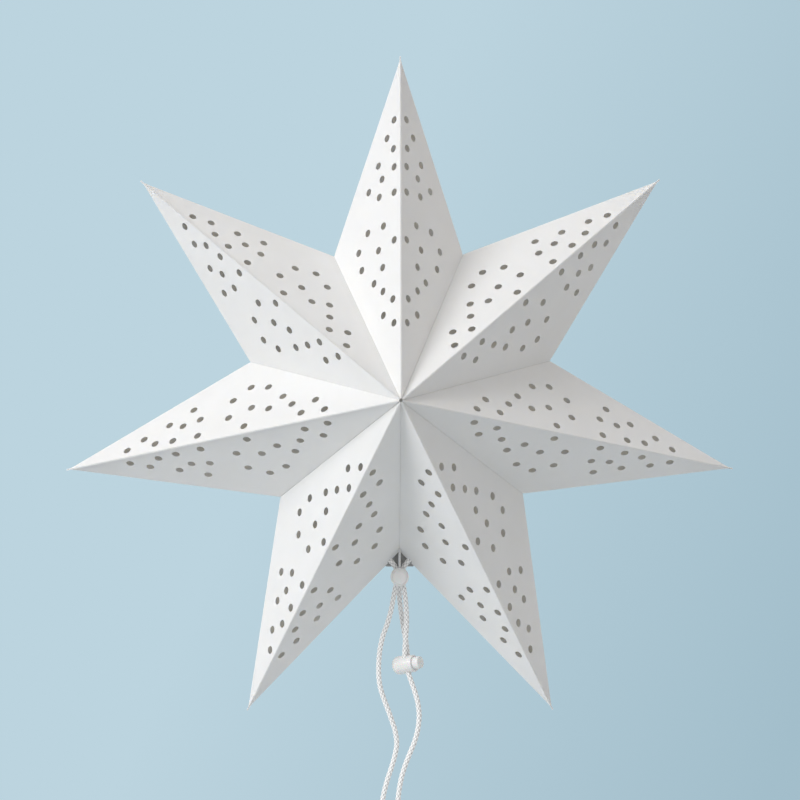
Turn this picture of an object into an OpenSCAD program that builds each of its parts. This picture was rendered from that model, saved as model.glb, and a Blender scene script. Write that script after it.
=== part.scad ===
// Hanging seven-pointed paper star: fourteen folded card halves glued at their ridges
// and valleys, closed at the bottom seam by drawcords with two spring cord locks.
// Millimetres. The front faces -Y, and the top point stands along +Z.

/* [Star] */
// Distance from the star's centre to the end of each ridge
tip_r = 240; // [220:1:260]
// Distance from the star's centre to each notch between two points
valley_r = 110; // [102:1:118]
// Height of the front and back centres above the star's mid-plane
half_depth = 105; // [92:1:118]
// Thickness of the card
card_t = 0.5; // [0.4:0.05:0.8]
// Radius of the pinhole left where the card corners meet at each centre
centre_gap_r = 1.2; // [0.8:0.1:2]

/* [Glued edges] */
// Width of the glued fin that stands out along each ridge
ridge_fin = 1.2; // [0.8:0.1:2]
// Length of the pinched end past the ridge at each tip
tip_end = 1.5; // [1:0.1:1.8]
// Width of the glue tab inside each valley
valley_tab = 8; // [5:0.5:10]

/* [Punched holes] */
// Diameter of the round holes punched in the front facets
hole_d = 5.5; // [4:0.1:6.5]
// Diameter of the opening for the lamp cord, in the rear of the seam
lamp_opening_d = 14; // [10:0.5:16]
// Distance of the lamp cord opening behind the mid-plane
lamp_opening_y = 30; // [27:0.5:34]

/* [Seam] */
// Width of each closing flap behind the notch
flap_w = 11; // [8:0.5:13]
// Distance of the closing flaps behind the mid-plane
flap_y = 3.6; // [3:0.1:5]
// Length of the closing flaps below the notch
flap_drop = 11; // [8:0.1:11.2]
// Width of the seam's lug in front of the mid-plane
lug_w = 6; // [3:0.5:8]
// Length of the seam's lug below the notch
lug_drop = 10.5; // [6:0.1:11]

/* [Cords] */
// Diameter of the braided cord
cord_d = 3.6; // [3:0.1:3.7]
// Radial room around a cord in its hole in the card
cord_room = 0.2; // [0.1:0.05:0.4]
// Diameter of a knot
knot_d = 9; // [8:0.1:9.4]
// Length of the loose cord end under a knot
knot_tail = 9; // [5:0.5:14]

/* [Cord locks] */
// Largest diameter of a lock's barrel
barrel_d = 13; // [12.6:0.1:14]
// Diameter of the barrel at its mouth
mouth_d = 11.2; // [10.6:0.1:12]
// Length of the barrel
barrel_len = 17; // [16.5:0.1:19]
// Thickness of the barrel's closed end
end_wall = 2; // [1.2:0.1:2.4]
// Thickness of the lip that keeps the plunger in the barrel
lip = 1.2; // [0.8:0.1:1.6]
// Diameter of the plunger inside the barrel
plunger_d = 9.9; // [9.6:0.05:10.2]
// Diameter of the button, the part of the plunger that stands out
button_d = 8.8; // [8.2:0.1:9.2]
// Length of the button outside the barrel
button_len = 5; // [4:0.1:7]
// Radial clearance of the plunger and the button
slide_fit = 0.07; // [0.05:0.01:0.1]
// Travel of the plunger when it is pressed
travel = 1.6; // [1:0.1:1.8]
// Width of the cord slot across the lock
slot_w = 7.6; // [7.5:0.1:7.8]
// Length of the cord slot along the lock
slot_len = 4; // [3.9:0.1:4.3]
// Wire diameter of the lock's spring
wire_d = 0.7; // [0.5:0.05:0.8]
// Outer diameter of the lock's spring
spring_d = 8; // [7:0.1:8.6]

/* [Hidden] */
POINTS = 7;
half_step = 180 / POINTS;

card_colour = "whitesmoke";
cord_colour = "white";
lock_colour = "gainsboro";
eps = 0.01;
fine = 48;
margin = 5;

// Ridge, notch and facet of one half point that stands along +Z, worked out from the driving sizes
ridge_len = sqrt(tip_r * tip_r + half_depth * half_depth);
valley_len = sqrt(valley_r * valley_r + half_depth * half_depth);
ridge_tilt = atan(half_depth / tip_r);
notch_x = valley_r * sin(half_step);
notch_z = valley_r * cos(half_step);
cross_slope = half_depth * (1 - notch_z / tip_r) / notch_x;
ridge_slope = half_depth / tip_r;
steepness = sqrt(1 + ridge_slope * ridge_slope + cross_slope * cross_slope);
facet_roll = atan(cross_slope * tip_r / ridge_len);
notch_along = (tip_r - notch_z) * tip_r / ridge_len;
notch_across = sqrt(notch_x * notch_x + pow(tip_r - notch_z, 2) - notch_along * notch_along);

// Depth at which a fin or a tab starts inside the sloping card, so that it grows out of it
ridge_root = card_t * (steepness + cross_slope) / (2 * sqrt(1 + ridge_slope * ridge_slope));
valley_slope = half_depth / valley_r;
valley_cross = sqrt(steepness * steepness - 1 - valley_slope * valley_slope);
valley_root = card_t * (steepness - valley_cross) / (2 * sqrt(1 + valley_slope * valley_slope));

// Hole places on a front facet in percent: distance from the tip along the ridge,
// and distance from the ridge as a share of the facet's width. Outer group, then inner group.
hole_places = [
  [17.5, 9.5], [22, 20], [26, 10.5], [29, 32.5], [31.5, 9.5], [33.5, 27], [35.5, 47], [39, 9.5], [38.5, 31],
  [47.5, 25], [47.5, 48], [53, 9.5], [54, 32.5], [52, 62], [59.5, 26.5], [57.5, 57.5], [63, 39.5],
  [66.5, 26], [70, 11.5], [73.5, 25.5], [77, 10]
];

// Seam at the bottom: slope of the crease beside the notch, and rise of the rear valley
crease_slope = (tip_r * cos(half_step) - valley_r) / (tip_r * sin(half_step));
crease_tilt = atan(crease_slope);
valley_rise = valley_r / half_depth;
seam_steepness = sqrt(1 + valley_rise * valley_rise + crease_slope * crease_slope);

// Holes through which the cords leave the card
cord_hole_r = cord_d / 2 + cord_room;
side_hole_x = 6.5;
rear_hole_y = 15;

// Knots inside the star, each seated on the card around its hole
seat_gap = 0.1;
side_knot_off = (knot_d / 2 + card_t + seat_gap) * seam_steepness / sqrt(1 + crease_slope * crease_slope);
side_knot_x = side_hole_x + side_knot_off * sin(crease_tilt);
side_knot_drop = side_hole_x * crease_slope - side_knot_off * cos(crease_tilt);
rear_knot_drop = -rear_hole_y * valley_rise - (knot_d / 2 + card_t + seat_gap) * seam_steepness;

// Inside of a cord lock, as distances from its closed end
play = 0.1;
wall = 0.9;
slot_gap = 0.05;
plunger_floor = 1.5;
shoulder_s = barrel_len - lip - play;
slot_s = shoulder_s - wall - travel - slot_gap - slot_len / 2;
plunger_s = slot_s - slot_len / 2 - slot_gap - plunger_floor;
button_end_s = barrel_len + button_len;
round_r = 3.5;
taper_s = 11;

// Where the slots of the two locks lie: x, y, and drop below the notch
upper_lock_at = [0, 0, 17.8];
lower_lock_at = [6.1, 3.0, 80.4];
lower_lock_tilt = 12;
lower_lock_turn = 34;

// Cord routes chosen by hand: x, y, and drop below the notch
left_route = [
  [-9.4, 0, 3.8], [-6.5, 0, 6.6], [-4.3, 0, 9.2], [-2.7, 0, 12], [-1.95, 0, 14.6], [-1.9, 0, 17.8],
  [-1.95, 0, 21], [-2.6, 0, 24.2], [-3.5, -0.1, 28.5], [-4.6, -0.3, 34.5], [-6.2, -0.6, 42.5],
  [-8.8, -0.9, 51.5], [-11.8, -1.2, 60], [-13.8, -1.4, 69], [-14.7, -1.5, 78], [-14.8, -1.5, 87],
  [-13.9, -1.4, 95.5], [-11.4, -1, 104], [-8.4, -0.6, 112], [-5.6, -0.3, 120], [-3.2, 0, 127.5],
  [-2, 0, 136.5], [-3.3, 0, 145], [-5.8, 0, 154], [-8.8, 0, 163], [-11.4, 0, 173.5], [-12.8, 0, 183],
  [-13.2, 0, 193], [-12.6, 0, 203], [-11.4, 0, 213], [-10.2, 0, 222]
];
right_route = [
  [9.4, 0, 3.8], [6.5, 0, 6.6], [4.3, 0, 9.2], [2.7, 0, 12], [1.95, 0, 14.6], [1.9, 0, 17.8],
  [1.95, 0, 21], [2.6, 0, 24.2], [3.4, 0.1, 28.5], [4.2, 0.3, 34.5], [4.8, 0.6, 42.5], [5, 0.9, 51],
  [4.5, 1.1, 60], [3.9, 1.35, 67.5], [3.75, 1.45, 74.2], [5.1, 1.45, 80.6], [6.5, 1.45, 87.2], [8.8, 1.1, 94],
  [11.2, 0.6, 101], [13.1, 0.3, 108.5], [13.9, 0, 117], [13, 0, 126.5], [10.6, 0, 135.5], [7.2, 0, 144],
  [3.9, 0, 152.5], [1.4, 0, 161], [-0.4, 0, 170.5], [-1.2, 0, 180], [-1, 0, 190], [0.2, 0, 200],
  [1.6, 0, 210], [2.8, 0, 219]
];
rear_route = [
  [0, 15, -21], [0, 15, -12], [0, 15, -3], [0, 15, 6], [0, 14.9, 15], [0, 14.6, 24], [0, 13.6, 33],
  [0.8, 12, 41], [1.9, 10.2, 48.5], [3.2, 8.3, 57], [4.7, 6.4, 65], [5.6, 4.7, 73], [7.1, 4.55, 80.2],
  [7.5, 4.55, 82.2]
];

// A place given by x, y and drop below the notch, in the star's own frame
function hung(p) = [p[0], p[1], -valley_r - p[2]];
function unit(v) = v / norm(v);

// Moves the star so that the end of the top point is the origin
module from_top() {
  translate([0, 0, -tip_r - tip_end]) children();
}

// Section between a ridge plane and the next valley plane, seen from the front
module sector_2d() {
  reach = tip_r + margin;
  polygon([
    [0, centre_gap_r], [0, reach], [reach * tan(half_step), reach],
    [centre_gap_r * sin(half_step), centre_gap_r * cos(half_step)]
  ]);
}

module sector(back) {
  depth = half_depth + margin;
  translate([0, back ? depth : 0, 0]) rotate([90, 0, 0])
    linear_extrude(back ? 2 * depth : depth) sector_2d();
}

// Flat facet with a lap on each side: x runs away from the ridge, and -y runs from the tip to the centre
module facet_2d(punched) {
  lap = 2 * card_t;
  corners = [[0, 0], [notch_across, -notch_along], [0, -ridge_len]];
  sides = [for (i = [0:2]) norm(corners[(i + 1) % 3] - corners[(i + 2) % 3])];
  around = sides[0] + sides[1] + sides[2];
  middle = (sides[0] * corners[0] + sides[1] * corners[1] + sides[2] * corners[2]) / around;
  growth = 1 + lap * around / (notch_across * ridge_len);
  difference() {
    polygon([for (corner = corners) middle + growth * (corner - middle)]);
    if (punched) for (place = hole_places)
      translate([place[1] * notch_across, -place[0] * ridge_len] / 100) circle(d = hole_d, $fn = fine);
  }
}

// Facet of a half point in front of the mid-plane, cut at the ridge, the valley and the mid-plane
module facet(punched) {
  intersection() {
    sector(false);
    translate([0, 0, tip_r]) rotate([-ridge_tilt, 0, 0]) rotate([0, 0, facet_roll]) rotate([90, 0, 0])
      translate([0, 0, -card_t]) linear_extrude(card_t) facet_2d(punched);
  }
}

// Band beside a ridge or valley line that runs from the front centre to the reach and to the back centre
module band_2d(reach, inner, outer) {
  len = sqrt(reach * reach + half_depth * half_depth);
  a = half_depth + outer * len / reach;
  b = half_depth - inner * len / reach;
  polygon([
    [-a, 0], [0, reach + outer * len / half_depth], [a, 0],
    [b, 0], [0, reach - inner * len / half_depth], [-b, 0]
  ]);
}

module ridge_fin_plate() {
  rotate([90, 0, 90]) linear_extrude(card_t) intersection() {
    band_2d(tip_r, ridge_root, ridge_fin);
    translate([-half_depth - margin, 0]) square([2 * (half_depth + margin), tip_r + tip_end]);
  }
}

// Glue tab inside the valley. The seam's tab is cut away around the rear knot and ends in a lug.
module valley_tab_plate(seam) {
  rotate([0, half_step, 0]) translate([-card_t, 0, 0]) rotate([90, 0, 90]) linear_extrude(card_t)
    difference() {
      union() {
        band_2d(valley_r, valley_tab, -valley_root);
        if (seam) lug_2d();
      }
      if (seam) translate([rear_hole_y, valley_r + rear_knot_drop]) circle(d = knot_d + 0.4, $fn = fine);
    }
}

// Lug below the notch, in the seam's plane
module lug_2d() {
  root = 3 * card_t;
  polygon([
    [-lug_w, valley_r + root], [-lug_w, valley_r + lug_drop], [root, valley_r + lug_drop],
    [root, valley_r - 5 * card_t], [0, valley_r - 10 * card_t]
  ]);
}

// One half point that stands along +Z: punched front facet and plain back facet, folded along the outer crease
module half_point(seam = false) {
  color(card_colour) union() {
    facet(punched = true);
    mirror([0, 1, 0]) facet(punched = false);
    intersection() {
      sector(true);
      union() {
        ridge_fin_plate();
        if (!seam) valley_tab_plate(false);
      }
    }
    if (seam) valley_tab_plate(true);
  }
}

// Closing flap of the right-hand seam half, hanging from the rear facet behind the notch
module closing_flap() {
  top = flap_y * valley_rise + card_t * valley_rise / 2 + card_t * seam_steepness / 2;
  corner = 1.5;
  translate([0, flap_y + card_t, 0]) rotate([90, 0, 0]) linear_extrude(card_t) polygon([
    [0, -valley_r - flap_drop], [flap_w - corner, -valley_r - flap_drop],
    [flap_w, -valley_r - flap_drop + corner], [flap_w, -valley_r + top - flap_w * crease_slope],
    [0, -valley_r + top]
  ]);
}

// Right-hand half at the seam, in the star's frame, with its flap, cord holes and lamp opening
module seam_half() {
  color(card_colour) difference() {
    union() {
      rotate([0, 180 - half_step, 0]) half_point(seam = true);
      closing_flap();
    }
    translate([side_hole_x, 0, -valley_r - side_hole_x * crease_slope]) rotate([0, -crease_tilt, 0])
      cylinder(r = cord_hole_r, h = 4 * cord_d, center = true, $fn = fine);
    translate([0, rear_hole_y, -valley_r]) cylinder(r = cord_hole_r, h = valley_r, $fn = fine);
    translate([0, lamp_opening_y, -valley_r]) cylinder(d = lamp_opening_d, h = valley_r, $fn = fine);
  }
}

// Half number i, clockwise from the top point's left half. The seam lies between halves 7 and 8.
module star_half(i) {
  k = floor(i / 2);
  if (i == 7) seam_half();
  else if (i == 8) mirror([1, 0, 0]) seam_half();
  else rotate([0, k * 2 * half_step, 0]) mirror([i % 2 == 0 ? 1 : 0, 0, 0]) half_point();
}

// Round tube swept along a route, with a flat end at each end
module cord_tube(route) {
  sides = 8;
  n = len(route);
  path = [for (p = route) hung(p)];
  way = [for (i = [0:n - 1]) unit(path[min(i + 1, n - 1)] - path[max(i - 1, 0)])];
  rings = [for (i = [0:n - 1]) let (u = unit(cross([0, 1, 0], way[i])), v = cross(way[i], u))
    for (j = [0:sides - 1]) path[i] + cord_d / 2 * (cos(j * 360 / sides) * u + sin(j * 360 / sides) * v)];
  walls = [for (i = [0:n - 2]) for (j = [0:sides - 1]) let (m = (j + 1) % sides)
    [i * sides + m, i * sides + j, (i + 1) * sides + j, (i + 1) * sides + m]];
  ends = [[for (j = [0:sides - 1]) j], [for (j = [sides - 1:-1:0]) (n - 1) * sides + j]];
  color(cord_colour) polyhedron(points = rings, faces = concat(walls, ends), convexity = 10);
}

module knot_at(p) {
  color(cord_colour) translate(hung(p)) sphere(d = knot_d, $fn = fine);
}

// Knot that ends a hanging cord, with the loose end under it
module end_knot(route) {
  last = route[len(route) - 1];
  color(cord_colour) translate(hung(last)) union() {
    translate([0, 0, -knot_d / 3]) sphere(d = knot_d, $fn = fine);
    translate([0, 0, -knot_d * 5 / 6 - knot_tail]) cylinder(d = cord_d, h = knot_tail + knot_d / 3, $fn = fine);
  }
}

// Stands a lock's part at the upper lock: closed end to the front, slot at the lock's place
module at_upper_lock() {
  translate(hung(upper_lock_at)) rotate([-90, 0, 0]) translate([0, 0, -slot_s]) children();
}

// Lower lock: closed end to the left, mouth turned up and towards the front
module at_lower_lock() {
  translate(hung(lower_lock_at)) rotate([0, -lower_lock_tilt, 0]) rotate([0, 0, -lower_lock_turn])
    rotate([0, 90, 0]) rotate([0, 0, 90]) translate([0, 0, -slot_s]) children();
}

// Slot with round ends through a lock, across its axis: wide along x, open along y
module cord_slot() {
  side = slot_w / 2 - slot_len / 2;
  depth = 2 * barrel_d;
  for (x = [-side, side]) translate([x, depth / 2, slot_s]) rotate([90, 0, 0])
    cylinder(d = slot_len, h = depth, $fn = fine);
  translate([-side, -depth / 2, slot_s - slot_len / 2]) cube([2 * side, depth, slot_len]);
}

// Barrel of a lock: rounded closed end at z = 0, open mouth at the top
module lock_barrel() {
  r = barrel_d / 2;
  bore_r = plunger_d / 2 + slide_fit;
  color(lock_colour) difference() {
    rotate_extrude($fn = fine) polygon(concat(
      [[0, 0]],
      [for (a = [-90:15:0]) [r - round_r + round_r * cos(a), round_r + round_r * sin(a)]],
      [[r, taper_s], [mouth_d / 2 + 0.3, barrel_len - 0.8], [mouth_d / 2 - 0.3, barrel_len], [0, barrel_len]]
    ));
    translate([0, 0, end_wall]) cylinder(r = bore_r, h = shoulder_s + play - end_wall, $fn = fine);
    translate([0, 0, end_wall + eps]) cylinder(d = button_d + 2 * slide_fit, h = barrel_len, $fn = fine);
    cord_slot();
  }
}

// Plunger: body with a long slot, and the button that stands out of the barrel
module lock_plunger() {
  dome = 0.8;
  color(lock_colour) difference() {
    union() {
      translate([0, 0, plunger_s]) cylinder(d = plunger_d, h = shoulder_s - plunger_s, $fn = fine);
      rotate_extrude($fn = fine) polygon([
        [0, shoulder_s - wall], [button_d / 2, shoulder_s - wall], [button_d / 2, button_end_s - dome],
        [button_d / 2 - dome / 3, button_end_s - dome / 3], [button_d / 2 - dome, button_end_s],
        [0, button_end_s]
      ]);
    }
    translate([-slot_w / 2, -plunger_d, slot_s - slot_len / 2 - slot_gap])
      cube([slot_w, 2 * plunger_d, slot_len + 2 * slot_gap + travel]);
  }
}

// Compression spring between the closed end and the plunger
module lock_spring() {
  turns = 3.5;
  steps = 14;
  sides = 6;
  n = ceil(turns * steps);
  r = (spring_d - wire_d) / 2;
  low = end_wall + wire_d / 2;
  rise = plunger_s - end_wall - wire_d;
  rings = [for (i = [0:n]) let (a = i * 360 / steps, z = low + rise * i / n)
    for (j = [0:sides - 1]) let (b = j * 360 / sides, w = r + wire_d / 2 * cos(b))
    [w * cos(a), w * sin(a), z + wire_d / 2 * sin(b)]];
  walls = [for (i = [0:n - 1]) for (j = [0:sides - 1]) let (m = (j + 1) % sides)
    [i * sides + j, i * sides + m, (i + 1) * sides + m, (i + 1) * sides + j]];
  ends = [[for (j = [sides - 1:-1:0]) j], [for (j = [0:sides - 1]) n * sides + j]];
  color("silver") polyhedron(points = rings, faces = concat(walls, ends), convexity = 10);
}

for (i = [0:2 * POINTS - 1]) from_top() star_half(i);
from_top() cord_tube(left_route);  // left_cord
from_top() cord_tube(right_route);  // right_cord
from_top() cord_tube(rear_route);  // rear_cord
from_top() knot_at([-side_knot_x, 0, side_knot_drop]);  // left_inner_knot
from_top() knot_at([side_knot_x, 0, side_knot_drop]);  // right_inner_knot
from_top() knot_at([0, rear_hole_y, rear_knot_drop]);  // rear_inner_knot
from_top() end_knot(left_route);  // left_end_knot
from_top() end_knot(right_route);  // right_end_knot
from_top() at_upper_lock() lock_barrel();  // upper_lock_barrel
from_top() at_upper_lock() lock_plunger();  // upper_lock_plunger
from_top() at_upper_lock() lock_spring();  // upper_lock_spring
from_top() at_lower_lock() lock_barrel();  // lower_lock_barrel
from_top() at_lower_lock() lock_plunger();  // lower_lock_plunger
from_top() at_lower_lock() lock_spring();  // lower_lock_spring
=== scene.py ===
import math

import bmesh
import bpy
import numpy as np
from mathutils import Matrix, Vector
from mathutils.geometry import delaunay_2d_cdt


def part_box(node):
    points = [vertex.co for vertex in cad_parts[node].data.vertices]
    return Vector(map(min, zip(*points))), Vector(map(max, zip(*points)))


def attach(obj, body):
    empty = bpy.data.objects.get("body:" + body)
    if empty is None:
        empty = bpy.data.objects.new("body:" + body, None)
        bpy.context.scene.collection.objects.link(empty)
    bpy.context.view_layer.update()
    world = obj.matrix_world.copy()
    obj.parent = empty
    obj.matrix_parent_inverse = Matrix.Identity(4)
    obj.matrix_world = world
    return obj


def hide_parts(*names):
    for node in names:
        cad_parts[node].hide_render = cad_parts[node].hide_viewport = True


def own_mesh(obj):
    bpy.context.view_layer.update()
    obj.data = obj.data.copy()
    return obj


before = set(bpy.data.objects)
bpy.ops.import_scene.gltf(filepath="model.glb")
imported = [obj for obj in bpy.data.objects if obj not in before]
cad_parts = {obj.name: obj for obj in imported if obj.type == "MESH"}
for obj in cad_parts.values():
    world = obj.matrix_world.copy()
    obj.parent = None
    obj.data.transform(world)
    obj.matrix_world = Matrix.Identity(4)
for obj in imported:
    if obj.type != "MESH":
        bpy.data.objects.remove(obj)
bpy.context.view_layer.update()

mm = 0.001

# The star's driving sizes in metres. The origin is the end of the top point.
star = {
    "points": 7,
    "tipRadius": 0.240,
    "notchRadius": 0.110,
    "halfDepth": 0.105,
    "tipEnd": 0.0015,
    "cardThickness": 0.0005,
}
halfStep = math.pi / star["points"]
centreHeight = -star["tipRadius"] - star["tipEnd"]
notchHeight = centreHeight - star["notchRadius"]


def unit(v):
    return v / np.linalg.norm(v, axis=-1, keepdims=True)


# Points given as x, y and drop below the bottom notch, all in mm, as places in metres
def hung(points):
    p = np.atleast_2d(np.array(points, float)) * mm
    return np.column_stack([p[:, 0], p[:, 1], notchHeight - p[:, 2]])


# Camera

shot = {
    "distance": 3.0,
    "azimuth": -0.57,
    "elevation": 1.57,
    "pictureWidth": 0.5669,  # width of what the picture shows at the star's mid-plane
    "target": (0.0003, 0.0, -0.2441),
}


def makeCamera():
    turn, rise = math.radians(shot["azimuth"]), math.radians(shot["elevation"])
    back = Vector((math.sin(turn) * math.cos(rise), -math.cos(turn) * math.cos(rise), math.sin(rise)))
    data = bpy.data.cameras.new("camera")
    data.sensor_width = 36
    data.lens = data.sensor_width * shot["distance"] / shot["pictureWidth"]
    camera = bpy.data.objects.new("camera", data)
    camera.location = Vector(shot["target"]) + back * shot["distance"]
    camera.rotation_mode = "QUATERNION"
    camera.rotation_quaternion = (-back).to_track_quat("-Z", "Y")
    bpy.context.scene.collection.objects.link(camera)
    bpy.context.scene.camera = camera


makeCamera()
print("camera placed")


# Materials

def newMaterial(name, colour, roughness):
    material = bpy.data.materials.new(name)
    material.use_nodes = True
    shader = material.node_tree.nodes["Principled BSDF"]
    shader.inputs["Base Color"].default_value = (*colour, 1)
    shader.inputs["Roughness"].default_value = roughness
    return material, shader


def addNode(material, kind, **values):
    node = material.node_tree.nodes.new(kind)
    for key, value in values.items():
        if key in node.inputs:
            node.inputs[key].default_value = value
        else:
            setattr(node, key, value)
    return node


# Noise on Object coordinates, in cells per metre, stretched by the factors given
def noiseAt(material, scale, detail, stretch=(1, 1, 1)):
    links = material.node_tree.links
    place = addNode(material, "ShaderNodeTexCoord")
    mapping = addNode(material, "ShaderNodeMapping")
    mapping.inputs["Scale"].default_value = stretch
    noise = addNode(material, "ShaderNodeTexNoise", Scale=scale, Detail=detail)
    links.new(place.outputs["Object"], mapping.inputs["Vector"])
    links.new(mapping.outputs["Vector"], noise.inputs["Vector"])
    return noise.outputs["Fac"]


# Base colour that runs from low to high with a noise
def paintBetween(material, shader, factor, low, high):
    ramp = addNode(material, "ShaderNodeValToRGB")
    ramp.color_ramp.elements[0].position = 0.3
    ramp.color_ramp.elements[1].position = 0.7
    ramp.color_ramp.elements[0].color = (*low, 1)
    ramp.color_ramp.elements[1].color = (*high, 1)
    material.node_tree.links.new(factor, ramp.inputs["Fac"])
    material.node_tree.links.new(ramp.outputs["Color"], shader.inputs["Base Color"])


# Bump from the sum of several noises
def roughenWith(material, shader, heights, distance, strength):
    links = material.node_tree.links
    total = heights[0]
    for height in heights[1:]:
        add = addNode(material, "ShaderNodeMath", operation="ADD")
        links.new(total, add.inputs[0])
        links.new(height, add.inputs[1])
        total = add.outputs["Value"]
    bump = addNode(material, "ShaderNodeBump", Strength=strength, Distance=distance)
    links.new(total, bump.inputs["Height"])
    links.new(bump.outputs["Normal"], shader.inputs["Normal"])


def makeCardFinish():
    material, shader = newMaterial("whiteCard", (0.86, 0.855, 0.84), 0.82)
    shader.inputs["Specular IOR Level"].default_value = 0.25
    shader.inputs["Subsurface Weight"].default_value = 0.9
    shader.inputs["Subsurface Radius"].default_value = (1.0, 0.92, 0.8)
    shader.inputs["Subsurface Scale"].default_value = 0.0018
    paintBetween(material, shader, noiseAt(material, 28, 4), (0.845, 0.84, 0.823), (0.875, 0.872, 0.86))
    fibres = noiseAt(material, 900, 4, (1, 1, 0.35))
    flecks = noiseAt(material, 2600, 2)
    roughenWith(material, shader, [fibres, flecks], 0.00006, 0.35)
    return material


# The closing flaps' card is painted dark grey: painted shade for the shadowed recess behind the notch, not a
# colour of the card itself
def makePaintedShadeFlapFinish():
    material, shader = newMaterial("flapCardPaintedShade", (0.43, 0.435, 0.44), 0.9)
    paintBetween(material, shader, noiseAt(material, 60, 4), (0.4, 0.405, 0.41), (0.46, 0.465, 0.47))
    roughenWith(material, shader, [noiseAt(material, 900, 4, (1, 1, 0.35))], 0.00006, 0.35)
    return material


def makeCordFinish():
    material, shader = newMaterial("whiteBraid", (0.86, 0.86, 0.865), 0.9)
    links = material.node_tree.links
    shader.inputs["Sheen Weight"].default_value = 0.3
    shader.inputs["Sheen Roughness"].default_value = 0.4
    # The base colour runs from white on the strands' crowns to grey in the grooves: painted shade between the
    # strands
    grooveShadeMask = addNode(material, "ShaderNodeAttribute", attribute_name="grooveShadeMask")
    paintedGrooveShade = addNode(material, "ShaderNodeValToRGB")
    paintedGrooveShade.color_ramp.elements[0].position = 0.32
    paintedGrooveShade.color_ramp.elements[1].position = 0.95
    paintedGrooveShade.color_ramp.elements[0].color = (0.95, 0.95, 0.955, 1)
    paintedGrooveShade.color_ramp.elements[1].color = (0.38, 0.395, 0.41, 1)
    links.new(grooveShadeMask.outputs["Fac"], paintedGrooveShade.inputs["Fac"])
    links.new(paintedGrooveShade.outputs["Color"], shader.inputs["Base Color"])
    roughenWith(material, shader, [noiseAt(material, 5200, 2, (1, 1, 0.3))], 0.00005, 0.6)
    return material


def makeLockFinish():
    material, shader = newMaterial("paleMouldedPlastic", (0.8, 0.805, 0.81), 0.34)
    shader.inputs["Subsurface Weight"].default_value = 0.12
    shader.inputs["Subsurface Scale"].default_value = 0.001
    shader.inputs["Coat Weight"].default_value = 0.15
    shader.inputs["Coat Roughness"].default_value = 0.25
    paintBetween(material, shader, noiseAt(material, 150, 3), (0.785, 0.79, 0.8), (0.815, 0.82, 0.825))
    roughenWith(material, shader, [noiseAt(material, 1400, 3)], 0.00003, 0.35)
    return material


def makeSpringFinish():
    material, shader = newMaterial("springSteel", (0.62, 0.61, 0.6), 0.32)
    shader.inputs["Metallic"].default_value = 1.0
    paintBetween(material, shader, noiseAt(material, 900, 3), (0.55, 0.54, 0.53), (0.68, 0.67, 0.66))
    roughenWith(material, shader, [noiseAt(material, 6000, 2, (1, 0.2, 1))], 0.00001, 0.4)
    return material


cardFinish = makeCardFinish()
paintedShadeFlapFinish = makePaintedShadeFlapFinish()
cordFinish = makeCordFinish()
lockFinish = makeLockFinish()
springFinish = makeSpringFinish()
print("materials made")


# Meshes from whole arrays

# A mesh from an array of places and an array of faces with equally many corners. The depths of a braid's
# grooves go into an attribute from which the cord's finish paints shade into the grooves.
def addPiece(name, verts, faces, material, slot=None, sharpAngle=40, grooves=None):
    mesh = bpy.data.meshes.new(name)
    corners = faces.shape[1]
    mesh.vertices.add(len(verts))
    mesh.vertices.foreach_set("co", np.ascontiguousarray(verts, np.float32).ravel())
    mesh.loops.add(faces.size)
    mesh.loops.foreach_set("vertex_index", np.ascontiguousarray(faces, np.int32).ravel())
    mesh.polygons.add(len(faces))
    mesh.polygons.foreach_set("loop_start", np.arange(0, faces.size, corners, dtype=np.int32))
    mesh.update(calc_edges=True)
    if grooves is not None:
        mesh.attributes.new("grooveShadeMask", "FLOAT", "POINT").data.foreach_set("value", grooves.astype(np.float32))
    mesh.validate()
    weld(mesh)
    mesh.materials.append(material)
    piece = bpy.data.objects.new(name, mesh)
    bpy.context.scene.collection.objects.link(piece)
    smoothExcept(piece, sharpAngle)
    return piece


# Joins the points that lie together, which also closes poles and seams
def weld(mesh, distance=2e-6):
    work = bmesh.new()
    work.from_mesh(mesh)
    bmesh.ops.remove_doubles(work, verts=work.verts, dist=distance)
    bmesh.ops.dissolve_degenerate(work, edges=work.edges, dist=1e-8)
    work.to_mesh(mesh)
    work.free()


# Turns all faces of a closed piece outwards
def faceOutwards(piece):
    work = bmesh.new()
    work.from_mesh(piece.data)
    bmesh.ops.recalc_face_normals(work, faces=work.faces)
    work.to_mesh(piece.data)
    work.free()


def smoothExcept(piece, sharpAngle):
    piece.data.polygons.foreach_set("use_smooth", np.ones(len(piece.data.polygons), bool))
    piece.data.set_sharp_from_angle(angle=math.radians(sharpAngle))


def applyModifiers(piece, sharpAngle=40):
    graph = bpy.context.evaluated_depsgraph_get()
    made = bpy.data.meshes.new_from_object(piece.evaluated_get(graph))
    piece.modifiers.clear()
    piece.data = made
    smoothExcept(piece, sharpAngle)


# Quads of a grid of points in rows that go round, so that the last column joins the first
def gridFaces(rows, columns):
    i, j = np.meshgrid(np.arange(rows - 1), np.arange(columns), indexing="ij")
    k = (j + 1) % columns
    quads = np.stack([i * columns + j, i * columns + k, (i + 1) * columns + k, (i + 1) * columns + j], -1)
    return quads.reshape(-1, 4)


# Distance run along a line of points, at each of them
def runAlong(points):
    return np.concatenate([[0], np.cumsum(np.linalg.norm(np.diff(points, axis=0), axis=1))])


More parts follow.
